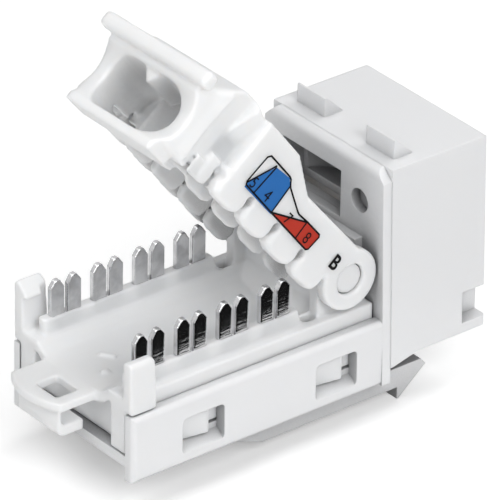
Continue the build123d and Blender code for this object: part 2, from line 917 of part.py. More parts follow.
def mouth_funnel():
    """Flare of the tunnel towards the mouth, which also hollows the press bar's face."""
    high = tunnel_high + funnel_rise
    wide = Pos(0, (high + tunnel_low) / 2) * RectangleRounded(
        2 * (tunnel_half + funnel_width), high - tunnel_low, funnel_round)
    start = cap_section_plane(barrel_end + 0.05 - funnel_length) * tunnel_section()
    return loft([start, cap_section_plane(barrel_end + 0.05) * wide], ruled=True)


def cap_section_plane(u):
    """Plane across the closed cap at u, drawn in (y, v)."""
    return Plane(origin=(hinge_x - u, 0, hinge_z), x_dir=(0, -1, 0), z_dir=(-1, 0, 0))


def along_u(face, u_low, u_high):
    """Extrudes a (y, v) face of the closed cap from u_low to u_high."""
    return extrude(cap_section_plane(u_low) * face, u_high - u_low)


def hinge_lobe():
    """Lobe around the pin and the neck that joins it to the cheek, on the far side."""
    lobe = cap_prism(Circle(lobe_radius), cheek_inner, cheek_outer)
    neck = outline([
        (0, lobe_radius - 0.4),
        (cheek_root, cheek_top_low),
        (cheek_root, tooth_base),
        (tooth_front, tooth_base),
        (0, -lobe_radius + 0.1),
    ])
    return lobe + cap_prism(neck, cheek_inner, cheek_outer)


def cable_lip():
    """Floor of the mouth behind the tray, and the narrow keel that leads to it along the trough."""
    high = tunnel_low + 0.3
    tray_end = reach(rear_x)
    lip = cap_prism(
        outline([(tray_end + lip_front, lip_bottom), (barrel_end - lip_end_gap, lip_bottom),
                 (barrel_end - lip_end_gap, high), (tray_end + lip_front, high)]),
        -lip_half,
        lip_half,
    )
    keel = cap_prism(
        outline([(tray_end - keel_start, keel_bottom + 0.15), (tray_end - keel_start + 0.5, keel_bottom),
                 (barrel_end - 2 * lip_end_gap, keel_bottom), (barrel_end - 2 * lip_end_gap, high),
                 (tray_end - keel_start, high)]),
        -keel_half_width,
        keel_half_width,
    )
    return lip + keel


def press_bar():
    """Rounded bar across the mouth of the barrel."""
    half = cheek_outer - bar_inset
    face = outline([
        (barrel_end - bar_thickness, bar_low),
        (barrel_end, bar_low),
        (barrel_end, bar_high),
        (barrel_end - bar_thickness, bar_high),
    ])
    bar = cap_prism(face, -half, half)
    bar = fillet(bar.edges().filter_by(Axis.Y), bar_round)
    ends = bar.edges().filter_by(lambda e: abs(abs(e.center().Y) - half) < 0.001)
    return chamfer(ends, bar_round / 2)


def wire_cap():
    """Hinged stuffer cap, built closed and then swung open."""
    width = cheek_outer
    body = cap_prism(cap_side_profile(), -width, width)
    last_face = post_inner - 0.15
    row = teeth(tooth_bottom, cheek_inner - 0.1, cheek_outer, cheek_outer, tooth_edge_round)[:-1]
    row += teeth(tooth_bottom, cheek_inner - 0.1, last_face, last_face, tooth_edge_round / 2)[-1:]
    row += teeth(tooth_bottom - comb_drop, comb_inner, comb_outer + 0.1, comb_inner, comb_edge_round)[:-1]
    for tooth in row:
        body += tooth
        body += mirror(tooth, about=Plane.XZ)
    body += barrel()
    body += cable_lip()
    body -= cap_prism(Circle(tower_swing_radius + swing_clearance), -cheek_inner, cheek_inner)
    body += both_sides(hinge_lobe())

    floor_u = reach(rear_x) - keel_start
    wire_space = outline([
        (0, lip_bottom - 1),
        (0, cheek_top_low - cap_skin),
        (cheek_ramp_start, cheek_top_low - cap_skin - 0.05),
        (cheek_ramp_end, cap_space_top),
        (floor_u - 0.6, cap_space_top),
        (floor_u, tunnel_low),
        (floor_u, lip_bottom - 1),
    ])
    body -= cap_prism(wire_space, -comb_inner, comb_inner)
    body -= along_u(tunnel_section(), cheek_end, barrel_end + 1)

    groove_high = rail_top - hinge_z + 0.2
    groove = outline([
        (0, lip_bottom - 1),
        (0, groove_high),
        (reach(rail_rear_x) + 0.3, groove_high),
        (reach(rail_rear_x) + 0.3, lip_bottom - 1),
    ])
    body -= both_sides(cap_prism(groove, comb_outer, cheek_inner))
    pocket_high = blade_top - hinge_z + 0.2
    pocket = outline([
        (slot_u[0] - blade_width / 2 - 0.4, tooth_bottom),
        (slot_u[0] - blade_width / 2 - 0.4, pocket_high),
        (slot_u[-1] + blade_width / 2 + 0.3, pocket_high),
        (slot_u[-1] + blade_width / 2 + 0.3, tooth_bottom),
    ])
    half_pocket = blade_thickness / 2 + 0.12
    body -= both_sides(cap_prism(pocket, blade_row - half_pocket, blade_row + half_pocket))
    for u in slot_u:
        body -= cap_prism(wire_slot(u), -width - 1, width + 1)

    relief_low = reach(hook_front_x) - hook_relief_margin
    relief_high = reach(rear_x) + hook_relief_margin
    relief = Circle(relief_high) - Circle(relief_low)
    relief &= Pos(relief_high / 2, 0) * Rectangle(relief_high + 1, 2 * (cheek_top_high + 1))
    body -= both_sides(cap_prism(relief, hook_relief, width + 1))

    scoop = Pos(mouth_u - scoop_depth + scoop_radius, scoop_height) * Circle(scoop_radius)
    body -= cap_prism(scoop, -width, width)
    body += press_bar()
    body -= mouth_funnel()
    rib_end = mouth_u - 0.55
    rib = along_u(
        outline([(-rib_half_width, tunnel_high + 0.3), (rib_half_width, tunnel_high + 0.3),
                 (0, tunnel_high - rib_drop)]),
        rib_end - rib_length,
        rib_end,
    )
    body += rib
    body -= cap_prism(Circle(pin_radius + pin_clearance), -width - 1, width + 1)
    axis = Axis((hinge_x, 0, hinge_z), (0, 1, 0))
    return body.rotate(axis, cap_open_deg)


def write(node, solid):
    """Writes one node as a STEP file."""
    export_step(solid, os.path.join("parts", node + ".step"))


def main():
    os.makedirs("parts", exist_ok=True)
    write("front_housing", front_housing())
    write("rear_shell", rear_shell())
    write("idc_tray", idc_tray())
    write("latch_arm", latch_arm())
    write("wire_cap", wire_cap())
    write("circuit_board", circuit_board())
    write("contact_carrier", contact_carrier())
    for k, y in enumerate(wire_rows(), start=1):
        write(f"jack_wire_{k}", jack_wire(y))
    for k, x in enumerate(blade_x, start=1):
        write(f"idc_contact_near_{k}", idc_blade(x, -blade_row))
        write(f"idc_contact_far_{k}", idc_blade(x, blade_row))


main()
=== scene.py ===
import json
import math

import bmesh
import bpy
import numpy as np
from mathutils import Matrix, Vector


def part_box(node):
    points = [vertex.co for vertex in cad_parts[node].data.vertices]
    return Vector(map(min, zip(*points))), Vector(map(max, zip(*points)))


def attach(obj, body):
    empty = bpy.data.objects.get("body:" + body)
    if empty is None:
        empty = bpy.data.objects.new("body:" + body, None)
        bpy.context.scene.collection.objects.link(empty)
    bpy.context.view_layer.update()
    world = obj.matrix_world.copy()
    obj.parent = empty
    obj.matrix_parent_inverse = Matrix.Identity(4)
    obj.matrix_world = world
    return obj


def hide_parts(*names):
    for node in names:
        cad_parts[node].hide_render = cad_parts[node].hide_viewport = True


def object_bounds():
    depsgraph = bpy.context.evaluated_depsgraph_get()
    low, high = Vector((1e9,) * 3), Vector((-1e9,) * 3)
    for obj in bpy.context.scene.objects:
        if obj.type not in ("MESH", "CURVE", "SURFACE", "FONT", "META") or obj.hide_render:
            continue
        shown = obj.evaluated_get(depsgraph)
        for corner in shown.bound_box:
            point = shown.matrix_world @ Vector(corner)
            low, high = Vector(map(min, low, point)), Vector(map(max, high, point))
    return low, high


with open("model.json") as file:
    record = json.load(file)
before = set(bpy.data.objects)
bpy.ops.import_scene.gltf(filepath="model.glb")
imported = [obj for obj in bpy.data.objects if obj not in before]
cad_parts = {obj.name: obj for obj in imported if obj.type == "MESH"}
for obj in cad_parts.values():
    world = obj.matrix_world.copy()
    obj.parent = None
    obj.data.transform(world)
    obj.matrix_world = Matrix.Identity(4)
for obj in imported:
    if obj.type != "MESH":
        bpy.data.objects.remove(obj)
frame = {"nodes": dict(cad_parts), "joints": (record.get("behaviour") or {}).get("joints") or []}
cad_low, cad_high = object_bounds()

MM = 0.001

# Camera, as fitted to the photograph
VIEW_AZIMUTH = -39.07
VIEW_ELEVATION = 29.81
VIEW_ROLL = 1.01
VIEW_DISTANCE = 500.0 * MM
VIEW_AIM = np.array([-12.0, 0.0, 8.0]) * MM
VIEW_ACROSS = 4.41 * MM
VIEW_UP = 0.62 * MM
PHOTO_WIDTH_PX = 500
FOCAL_LENGTH_PX = 6434
SENSOR_WIDTH_MM = 36.0

# The cap's own plane: u runs back from the hinge and v up, with the cap closed
HINGE = np.array(next(j for j in frame["joints"] if j["name"] == "cap_hinge")["pos_m"])
CAP_OPENING = math.radians(51.0)
CHEEK_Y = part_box("wire_cap")[0][1]

# Printed wiring label, in millimetres of (u, v): tracks, signs with their middle and height, and the letter
PRINT_LIFT = 0.012 * MM
LINE_WIDTH = 0.15
LABEL_OUTLINE = [
    (15.72, 2.26), (15.98, 2.0), (16.12, -0.4), (15.95, -0.65), (11.84, -0.77), (6.3, -0.87), (6.08, -0.7),
    (5.94, 0.52), (6.1, 0.7), (8.02, 0.72), (9.3, 0.66), (9.6, 0.74), (11.85, 1.6), (12.15, 1.82),
    (12.4, 2.08), (12.7, 2.18),
]
BLUE_FIELD = [(15.95, -0.85), (16.02, -0.55), (14.5, 1.94), (12.62, 2.1), (12.02, 1.68), (11.8, -0.9)]
RED_FIELD = [(11.75, -0.72), (8.02, 0.69), (6.15, 0.66), (5.98, 0.48), (6.12, -0.66), (6.32, -0.84)]
LABEL_LINES = [
    [(16.08, -0.55), (14.56, 2.06)],
    [(14.5, 1.96), (14.74, -0.69)],
    [(12.02, 1.7), (11.86, -0.75)],
    [(11.84, -0.74), (8.02, 0.69)],
    [(8.05, 0.6), (7.97, -0.8)],
]
LABEL_SIGNS = [
    ("5", (15.42, -0.1), 0.92),
    ("4", (13.36, -0.05), 1.0),
    ("7", (9.95, -0.16), 0.92),
    ("8", (6.98, -0.16), 0.95),
]
LETTER_PLACE = (2.68, 0.09)
LETTER_HEIGHT = 1.25
LETTER_BOLDNESS = 0.025
MITRE_LIMIT = 0.35          # least cosine at a line's corner, so that a sharp one doesn't spike

# Softened skins: size of their cells, rounds of smoothing, part of the faces kept
MOULDING_SKIN = (0.13 * MM, 5, 0.45)
BLADE_SKIN = (0.05 * MM, 9, 0.3)
WELD_REACH = 0.0002 * MM

# Raised ticks in the trough, in millimetres: x, y, turn in radians and length
TROUGH_SURFACE = ([0.0, 3.2, 3.85, 4.45], [4.2, 4.35, 4.6, 5.1])      # distances across, and heights there
TICK_WIDTH = 0.3
TICK_HEIGHT = 0.3
TICK_ROOT = -0.3            # how far a tick's foot is below the surface
TROUGH_TICKS = [(-31.0, 0.6, -0.95, 1.3), (-32.7, -1.3, -0.4, 0.7)]

# Thickening of the cap's thin skin beside the last blade, in millimetres: (low, high) in u, v and y
CAP_FILLS = [
    ((17.4, 20.3), (-1.5, 1.45), (5.5, 5.71)),
    ((18.5, 19.9), (-1.65, -0.9), (5.62, 5.95)),
    ((19.1, 20.9), (-3.0, -1.4), (5.8, 6.0)),
]
BLOCK_FACES = [(0, 1, 3, 2), (4, 6, 7, 5), (0, 4, 5, 1), (2, 3, 7, 6), (0, 2, 6, 4), (1, 5, 7, 3)]

# Lamps: place in metres, and power in watts
LAMPS = [
    ("near_lamp", (-0.09, -0.39, 0.29), 1.4),
    ("right_lamp", (0.31, 0.0, 0.39), 0.9),
    ("left_lamp", (-0.12, -0.01, 0.105), 0.066),
    ("far_left_lamp", (-0.26, 0.25, 0.36), 0.2),
    ("top_lamp", (-0.012, 0.0, 0.508), 0.33),
]
LAMP_SPREAD = 0.6           # side of a square lamp, as a part of its distance
SKY_STRENGTH = 0.04
BACKDROP_STRENGTH = 1.0     # seen by the camera and in reflections only
FLOOR_HALF = 1.2
FLOOR_TONE = 0.95
FLOOR_GLOW = 0.32           # seen by the camera only

# Dark card beside the near side, seen only in the plated blades
CARD_X = (-60.0 * MM, 30.0 * MM)
CARD_Y = (-75.0 * MM, -20.3 * MM)
CARD_LIFT = 0.2 * MM
CARD_TONE = 0.01
PAPER_ROUGHNESS = 0.9


def principled(material):
    """The material's Principled shader."""
    return material.node_tree.nodes["Principled BSDF"]


def new_group(name, inputs, outputs):
    """Empty shader group with float, colour or vector sockets; returns it with its in and out nodes."""
    group = bpy.data.node_groups.new(name, "ShaderNodeTree")
    kinds = {"float": "NodeSocketFloat", "colour": "NodeSocketColor", "vector": "NodeSocketVector"}
    for label, kind, default in inputs:
        socket = group.interface.new_socket(name=label, in_out="INPUT", socket_type=kinds[kind])
        socket.default_value = default
    for label, kind in outputs:
        group.interface.new_socket(name=label, in_out="OUTPUT", socket_type=kinds[kind])
    return group, group.nodes.new("NodeGroupInput"), group.nodes.new("NodeGroupOutput")


def remap(nodes, links, value, low, high):
    """Map Range node from 0..1 to low..high, where low and high are sockets or numbers."""
    node = nodes.new("ShaderNodeMapRange")
    links.new(value, node.inputs["Value"])
    for label, target in (("To Min", low), ("To Max", high)):
        if isinstance(target, (int, float)):
            node.inputs[label].default_value = target
        else:
            links.new(target, node.inputs[label])
    return node.outputs["Result"]


def moulded_surface_group():
    """Moulded plastic: soft tone clouds, a fine spark-eroded grain, rounded edges, and painted shade that
    darkens the colour in cavities.
    """
    group, given, result = new_group(
        "moulded_surface",
        [
            ("Colour", "colour", (0.8, 0.8, 0.8, 1.0)),
            ("Shade", "colour", (0.7, 0.7, 0.72, 1.0)),
            ("Cloud Scale", "float", 90.0),
            ("Cloud Amount", "float", 0.3),
            ("Grain Scale", "float", 11000.0),
            ("Grain Depth", "float", 0.0000025),
            ("Edge Radius", "float", 0.00015),
            ("Gloss", "float", 0.25),
            ("Matt", "float", 0.4),
            # Reach, starting occlusion and strength of the painted shade darkened into the colour in cavities
            ("Cavity Reach", "float", 0.005),
            ("Cavity Start", "float", 0.7),
            ("Painted Cavity Shade", "float", 0.8),
        ],
        [("Colour", "colour"), ("Roughness", "float"), ("Normal", "vector")],
    )
    nodes, links = group.nodes, group.links
    place = nodes.new("ShaderNodeTexCoord")
    clouds = nodes.new("ShaderNodeTexNoise")
    clouds.inputs["Detail"].default_value = 3.0
    links.new(place.outputs["Object"], clouds.inputs["Vector"])
    links.new(given.outputs["Cloud Scale"], clouds.inputs["Scale"])
    amount = nodes.new("ShaderNodeMath")
    amount.operation = "MULTIPLY"
    links.new(clouds.outputs["Fac"], amount.inputs[0])
    links.new(given.outputs["Cloud Amount"], amount.inputs[1])
    tone = nodes.new("ShaderNodeMix")
    tone.data_type = "RGBA"
    links.new(amount.outputs["Value"], tone.inputs["Factor"])
    links.new(given.outputs["Colour"], tone.inputs[6])
    links.new(given.outputs["Shade"], tone.inputs[7])
    # Painted shade: where ambient occlusion finds the surface enclosed, the colour is multiplied towards
    # near-black, standing in for the shade in cavities, creases and under the cap
    cavity = nodes.new("ShaderNodeAmbientOcclusion")
    cavity.samples = 6
    links.new(given.outputs["Cavity Reach"], cavity.inputs["Distance"])
    depth = nodes.new("ShaderNodeMapRange")
    depth.inputs["From Min"].default_value = 0.08
    links.new(given.outputs["Cavity Start"], depth.inputs["From Max"])
    depth.inputs["To Max"].default_value = 0.0
    links.new(cavity.outputs["AO"], depth.inputs["Value"])
    links.new(given.outputs["Painted Cavity Shade"], depth.inputs["To Min"])
    painted_cavity_darkening = nodes.new("ShaderNodeMix")
    painted_cavity_darkening.data_type = "RGBA"
    painted_cavity_darkening.blend_type = "MULTIPLY"
    painted_cavity_darkening.inputs[7].default_value = (0.12, 0.12, 0.125, 1.0)
    links.new(depth.outputs["Result"], painted_cavity_darkening.inputs["Factor"])
    links.new(tone.outputs[2], painted_cavity_darkening.inputs[6])
    links.new(painted_cavity_darkening.outputs[2], result.inputs["Colour"])

    grain = nodes.new("ShaderNodeTexNoise")
    grain.inputs["Detail"].default_value = 2.0
    links.new(place.outputs["Object"], grain.inputs["Vector"])
    links.new(given.outputs["Grain Scale"], grain.inputs["Scale"])
    rounded = nodes.new("ShaderNodeBevel")
    rounded.samples = 6
    links.new(given.outputs["Edge Radius"], rounded.inputs["Radius"])
    bump = nodes.new("ShaderNodeBump")
    bump.inputs["Strength"].default_value = 0.6
    links.new(given.outputs["Grain Depth"], bump.inputs["Distance"])
    links.new(grain.outputs["Fac"], bump.inputs["Height"])
    links.new(rounded.outputs["Normal"], bump.inputs["Normal"])
    links.new(bump.outputs["Normal"], result.inputs["Normal"])

    patches = nodes.new("ShaderNodeTexNoise")
    patches.inputs["Scale"].default_value = 420.0
    patches.inputs["Detail"].default_value = 4.0
    links.new(place.outputs["Object"], patches.inputs["Vector"])
    spread = remap(nodes, links, patches.outputs["Fac"], given.outputs["Gloss"], given.outputs["Matt"])
    links.new(spread, result.inputs["Roughness"])
    return group


def plated_surface_group():
    """Plated sheet metal: fine level draw marks, cloudy plating and worn bright edges."""
    group, given, result = new_group(
        "plated_surface",
        [
            ("Colour", "colour", (0.7, 0.7, 0.71, 1.0)),
            ("Stain", "colour", (0.5, 0.5, 0.51, 1.0)),
            ("Mark Scale", "float", 4200.0),
            ("Mark Depth", "float", 0.000007),
            ("Gloss", "float", 0.03),
            ("Matt", "float", 0.1),
            ("Edge Radius", "float", 0.00009),
        ],
        [("Colour", "colour"), ("Roughness", "float"), ("Normal", "vector")],
    )
    nodes, links = group.nodes, group.links
    place = nodes.new("ShaderNodeTexCoord")
    stretch = nodes.new("ShaderNodeMapping")
    stretch.inputs["Scale"].default_value = (0.12, 1.0, 1.0)
    links.new(place.outputs["Object"], stretch.inputs["Vector"])
    marks = nodes.new("ShaderNodeTexNoise")
    marks.inputs["Detail"].default_value = 4.0
    links.new(stretch.outputs["Vector"], marks.inputs["Vector"])
    links.new(given.outputs["Mark Scale"], marks.inputs["Scale"])
    clouds = nodes.new("ShaderNodeTexNoise")
    clouds.inputs["Scale"].default_value = 900.0
    clouds.inputs["Detail"].default_value = 5.0
    links.new(place.outputs["Object"], clouds.inputs["Vector"])
    stained = nodes.new("ShaderNodeMapRange")
    stained.inputs["From Min"].default_value = 0.42
    stained.inputs["From Max"].default_value = 0.72
    links.new(clouds.outputs["Fac"], stained.inputs["Value"])
    tone = nodes.new("ShaderNodeMix")
    tone.data_type = "RGBA"
    links.new(stained.outputs["Result"], tone.inputs["Factor"])
    links.new(given.outputs["Colour"], tone.inputs[6])
    links.new(given.outputs["Stain"], tone.inputs[7])
    links.new(tone.outputs[2], result.inputs["Colour"])
    spread = remap(nodes, links, marks.outputs["Fac"], given.outputs["Gloss"], given.outputs["Matt"])
    links.new(spread, result.inputs["Roughness"])
    rounded = nodes.new("ShaderNodeBevel")
    rounded.samples = 6
    links.new(given.outputs["Edge Radius"], rounded.inputs["Radius"])
    bump = nodes.new("ShaderNodeBump")
    bump.inputs["Strength"].default_value = 1.0
    links.new(given.outputs["Mark Depth"], bump.inputs["Distance"])
    links.new(marks.outputs["Fac"], bump.inputs["Height"])
    links.new(rounded.outputs["Normal"], bump.inputs["Normal"])
    links.new(bump.outputs["Normal"], result.inputs["Normal"])
    return group


def dressed_material(name, group, values, metallic=0.0, ior=1.5, subsurface=0.0, depth=0.0):
    """Material whose colour, roughness and normal come from a group with its own values."""
    material = bpy.data.materials.new(name)
    material.use_nodes = True
    nodes, links = material.node_tree.nodes, material.node_tree.links
    skin = nodes.new("ShaderNodeGroup")
    skin.node_tree = group
    for label, value in values.items():
        skin.inputs[label].default_value = value
    shader = principled(material)
    links.new(skin.outputs["Colour"], shader.inputs["Base Color"])
    links.new(skin.outputs["Roughness"], shader.inputs["Roughness"])
    links.new(skin.outputs["Normal"], shader.inputs["Normal"])
    shader.inputs["Metallic"].default_value = metallic
    shader.inputs["IOR"].default_value = ior
    shader.inputs["Subsurface Weight"].default_value = subsurface
    shader.inputs["Subsurface Scale"].default_value = depth
    shader.inputs["Subsurface Radius"].default_value = (1.0, 0.95, 0.9)
    return material


def board_material(group):
    """Green board laminate: resin with broad clouds in its tone."""
    # The board keeps the group's default painted cavity shade in its hollows
    return dressed_material(
        "board_laminate",
        group,
        {"Colour": (0.03, 0.2, 0.09, 1.0), "Shade": (0.015, 0.11, 0.05, 1.0), "Cloud Amount": 0.8,
         "Cloud Scale": 600.0, "Gloss": 0.2, "Matt": 0.35},
    )


def ink_material(name, colour, group):
    """Printing ink: a thin satin film with a slight mottle."""
    shade = tuple(0.82 * c for c in colour)
    return dressed_material(
        name,
        group,
        {"Colour": (*colour, 1.0), "Shade": (*shade, 1.0), "Cloud Scale": 900.0, "Cloud Amount": 0.5,
         "Grain Scale": 12000.0, "Grain Depth": 0.000002, "Edge Radius": 0.00001, "Gloss": 0.4, "Matt": 0.55,
         "Painted Cavity Shade": 0.0},
        ior=1.3,
    )


def cap_point(u, v, y):
    """Frame point of (u, v) on the open cap: the closed point turned about the hinge by the opening angle."""
    along, up = u * MM, v * MM
    x = HINGE[0] - along * math.cos(CAP_OPENING) + up * math.sin(CAP_OPENING)
    z = HINGE[2] + along * math.sin(CAP_OPENING) + up * math.cos(CAP_OPENING)
    return np.array([x, y, z])


def piece_from_arrays(name, points, faces, material, body):
    """Mesh object at the origin from an array of points and a list of faces, riding on a body."""
    mesh = bpy.data.meshes.new(name)
    mesh.from_pydata([tuple(p) for p in points], [], faces)
    mesh.update()
    mesh.materials.append(material)
    piece = bpy.data.objects.new(name, mesh)
    bpy.context.scene.collection.objects.link(piece)
    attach(piece, body)
    return piece


def outward(corners):
    """The corners in the order that makes the printed face look away from the cheek."""
    pairs = np.array(corners)
    following = np.roll(pairs, -1, axis=0)
    doubled_area = np.sum(pairs[:, 0] * following[:, 1] - following[:, 0] * pairs[:, 1])
    return pairs if doubled_area < 0 else pairs[::-1]


def printed_field(name, corners, layer, material):
    """Flat field of ink on the near cheek: one face through (u, v) corners, lifted by its layer."""
    y = CHEEK_Y - layer * PRINT_LIFT
    points = [cap_point(u, v, y) for u, v in outward(corners)]
    piece = piece_from_arrays(name, points, [list(range(len(points)))], material, "cap")
    return piece


def printed_line(name, corners, layer, material, closed=True):
    """Ink line of even width along (u, v) corners: at each corner the two edges meet on the mitre."""
    track = np.array(corners, dtype=float)
    before = np.roll(track, 1, axis=0)
    after = np.roll(track, -1, axis=0)
    if not closed:
        before[0] = 2 * track[0] - track[1]
        after[-1] = 2 * track[-1] - track[-2]
    into = (track - before) / np.linalg.norm(track - before, axis=1, keepdims=True)
    out = (after - track) / np.linalg.norm(after - track, axis=1, keepdims=True)
    side_in = np.stack([-into[:, 1], into[:, 0]], axis=1)
    side_out = np.stack([-out[:, 1], out[:, 0]], axis=1)
    mitre = side_in + side_out
    mitre /= np.linalg.norm(mitre, axis=1, keepdims=True)
    reach = 0.5 * LINE_WIDTH / np.clip(np.sum(mitre * side_in, axis=1, keepdims=True), MITRE_LIMIT, 1.0)
    left, right = track + mitre * reach, track - mitre * reach
    y = CHEEK_Y - layer * PRINT_LIFT
    points = [cap_point(u, v, y) for u, v in np.concatenate([left, right])]
    count = len(track)
    spans = range(count if closed else count - 1)
    faces = [[k, (k + 1) % count, (k + 1) % count + count, k + count] for k in spans]
    piece = piece_from_arrays(name, points, faces, material, "cap")
    face_outwards(piece)
    return piece


def face_outwards(piece):
    """Turns a flat print so that its faces look towards -Y."""
    mesh = piece.data
    if sum(face.normal.y * face.area for face in mesh.polygons) > 0:
        mesh.flip_normals()


def printed_sign(name, text, middle, height, material, layer, bold=0.0):
    """One digit or letter, upright along v and read along -u, centred on its middle."""
    curve = bpy.data.curves.new(name, "FONT")
    curve.body = text
    curve.align_x = "CENTER"
    curve.align_y = "CENTER"
    curve.size = 1.0
    curve.offset = bold
    holder = bpy.data.objects.new(name + "_curve", curve)
    bpy.context.scene.collection.objects.link(holder)
    flat = bpy.data.meshes.new_from_object(holder.evaluated_get(bpy.context.evaluated_depsgraph_get()))
    bpy.data.objects.remove(holder)
    bpy.data.curves.remove(curve)
    points = np.zeros(len(flat.vertices) * 3)
    flat.vertices.foreach_get("co", points)
    points = points.reshape(-1, 3)
    centre = 0.5 * (points.min(axis=0) + points.max(axis=0))
    scale = height / np.ptp(points[:, 1])
    local = (points - centre) * scale
    faces = [list(face.vertices) for face in flat.polygons]
    y = CHEEK_Y - layer * PRINT_LIFT
    placed = [cap_point(middle[0] - p[0], middle[1] + p[1], y) for p in local]
    piece = piece_from_arrays(name, placed, faces, material, "cap")
    face_outwards(piece)
    return piece


def wiring_label(group):
    """Wiring label on the near cheek: a blue and a red field, black lines, digits and the scheme letter."""
    blue = ink_material("blue_ink", (0.02, 0.15, 0.46), group)
    red = ink_material("red_ink", (0.5, 0.035, 0.017), group)
    black = ink_material("black_ink", (0.003, 0.003, 0.004), group)
    printed_field("label_blue_field", BLUE_FIELD, 1, blue)
    printed_field("label_red_field", RED_FIELD, 1, red)
    for count, track in enumerate(LABEL_LINES, start=1):
        printed_line(f"label_line_{count}", track, 2, black, closed=False)
    printed_line("label_outline", LABEL_OUTLINE, 2, black)
    for text, middle, height in LABEL_SIGNS:
        printed_sign("label_sign_" + text, text, middle, height, black, 3)
    printed_sign("label_letter_b", "B", LETTER_PLACE, LETTER_HEIGHT, black, 3, LETTER_BOLDNESS)


def softened_copy(name, node, material, body, skin_values, blocks=()):
    """Copy of a CAD node with its edges melted round: an even skin of small cells, smoothed and thinned."""
    cell, rounds, kept = skin_values
    mesh = frame["nodes"][node].data.copy()
    mesh.name = name
    joined = bmesh.new()
    joined.from_mesh(mesh)
    bmesh.ops.remove_doubles(joined, verts=joined.verts, dist=WELD_REACH)
    if blocks:
        add_blocks(joined, blocks)
    joined.to_mesh(mesh)
    joined.free()
    holder = bpy.data.objects.new(name + "_source", mesh)
    bpy.context.scene.collection.objects.link(holder)
    skin = holder.modifiers.new("even_skin", "REMESH")
    skin.mode = "VOXEL"
    skin.voxel_size = cell
    melt = holder.modifiers.new("melted_edges", "SMOOTH")
    melt.factor = 0.5
    melt.iterations = rounds
    thin = holder.modifiers.new("thinned", "DECIMATE")
    thin.ratio = kept
    soft = bpy.data.meshes.new_from_object(holder.evaluated_get(bpy.context.evaluated_depsgraph_get()))
    bpy.data.objects.remove(holder)
    soft.name = name
    soft.materials.clear()
    soft.materials.append(material)
    soft.shade_smooth()
    piece = bpy.data.objects.new(name, soft)
    bpy.context.scene.collection.objects.link(piece)
    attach(piece, body)
    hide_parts(node)
    return piece


def cap_block(u_pair, v_pair, y_pair):
    """Eight corners and six faces of a block of the open cap, from (low, high) pairs in u, v and y."""
    corners = [cap_point(u, v, y * MM) for u in u_pair for v in v_pair for y in y_pair]
    return corners, BLOCK_FACES


def trough_height(y):
    """Height of the trough's surface in millimetres: its floor, then the steeper side up to the rim."""
    return float(np.interp(abs(y), *TROUGH_SURFACE))


def raised_tick(x, y, turn, length):
    """Slim mark on the trough: a block along the turned X axis, from under the surface to just above it."""
    ahead = 0.5 * length * np.array([math.cos(turn), math.sin(turn)])
    aside = 0.5 * TICK_WIDTH * np.array([-math.sin(turn), math.cos(turn)])
    corners = []
    for way in (-1, 1):
        for lift in (TICK_ROOT, TICK_HEIGHT):
            for side in (-1, 1):
                place = np.array([x, y]) + way * ahead + side * aside
                corners.append(np.array([place[0], place[1], trough_height(place[1]) + lift]) * MM)
    return corners, BLOCK_FACES


def add_blocks(cells, blocks):
    """Adds blocks to a bmesh, to be melted into the skin with the rest."""
    for corners, faces in blocks:
        points = [cells.verts.new(tuple(p)) for p in corners]
        for face in faces:
            cells.faces.new([points[k] for k in face])
    bmesh.ops.recalc_face_normals(cells, faces=cells.faces)


def assign(names, material):
    """Gives CAD nodes their material."""
    for name in names:
        mesh = frame["nodes"][name].data
        mesh.materials.clear()
        mesh.materials.append(material)


def soft_lamp(name, place, power):
    """Square area lamp that looks at the object's middle; its side grows with its distance."""
    towards = Vector(VIEW_AIM.tolist()) - Vector(place)
    lamp = bpy.data.lights.new(name, "AREA")
    lamp.shape = "SQUARE"
    lamp.size = LAMP_SPREAD * towards.length
    lamp.energy = power
    holder = bpy.data.objects.new(name, lamp)
    holder.location = place
    holder.rotation_euler = towards.to_track_quat("-Z", "Y").to_euler()
    bpy.context.scene.collection.objects.link(holder)
    return holder


def level_sheet(name, surface, x_pair, y_pair, z, tone):
    """Level stage sheet between (low, high) pairs in x and y, with a matt grey surface; returns both."""
    mesh = bpy.data.meshes.new(name)
    corners = [(x_pair[i], y_pair[j], z) for i, j in ((0, 0), (1, 0), (1, 1), (0, 1))]
    mesh.from_pydata(corners, [], [[0, 1, 2, 3]])
    material = bpy.data.materials.new(surface)
    material.use_nodes = True
    principled(material).inputs["Base Color"].default_value = (tone, tone, tone, 1.0)
    principled(material).inputs["Roughness"].default_value = PAPER_ROUGHNESS
    mesh.materials.append(material)
    sheet = bpy.data.objects.new(name, mesh)
    bpy.context.scene.collection.objects.link(sheet)
    return sheet, material


def dark_card(floor_height):
    """Dark sheet just above the floor, which only mirror-like surfaces see."""
    card, felt = level_sheet("dark_card", "dark_felt", CARD_X, CARD_Y, floor_height + CARD_LIFT, CARD_TONE)
    principled(felt).inputs["Specular IOR Level"].default_value = 0.0
    card.visible_camera = False
    card.visible_diffuse = False
    card.visible_shadow = False
    card.visible_transmission = False


